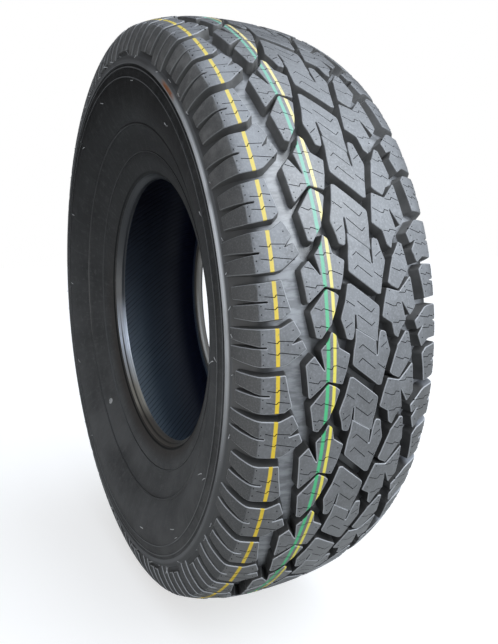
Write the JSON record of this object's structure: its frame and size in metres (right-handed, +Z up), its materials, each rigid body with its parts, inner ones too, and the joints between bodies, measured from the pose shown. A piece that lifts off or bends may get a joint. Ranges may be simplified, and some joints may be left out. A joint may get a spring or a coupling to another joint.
{
  "type": "car tyre",
  "caption": "All-terrain car tyre, off its rim and standing on its tread: interlocking tread blocks, lugged shoulders, ringed sidewalls, hollow inside and open through both beads.",
  "frame": {"origin": "middle of the tyre: on its axle line, halfway between the two sidewalls", "axes": "+Y along the axle line, away from the sidewall that faces the camera; +Z up; +X towards the side whose tread the camera sees"},
  "size_m": [0.7752, 0.24, 0.7729],
  "materials": {
    "tyre": "satin black rubber, tread faces slightly paler"
  },
  "bodies": {
    "root": {"tyre": "tyre"}
  },
  "joints": []
}
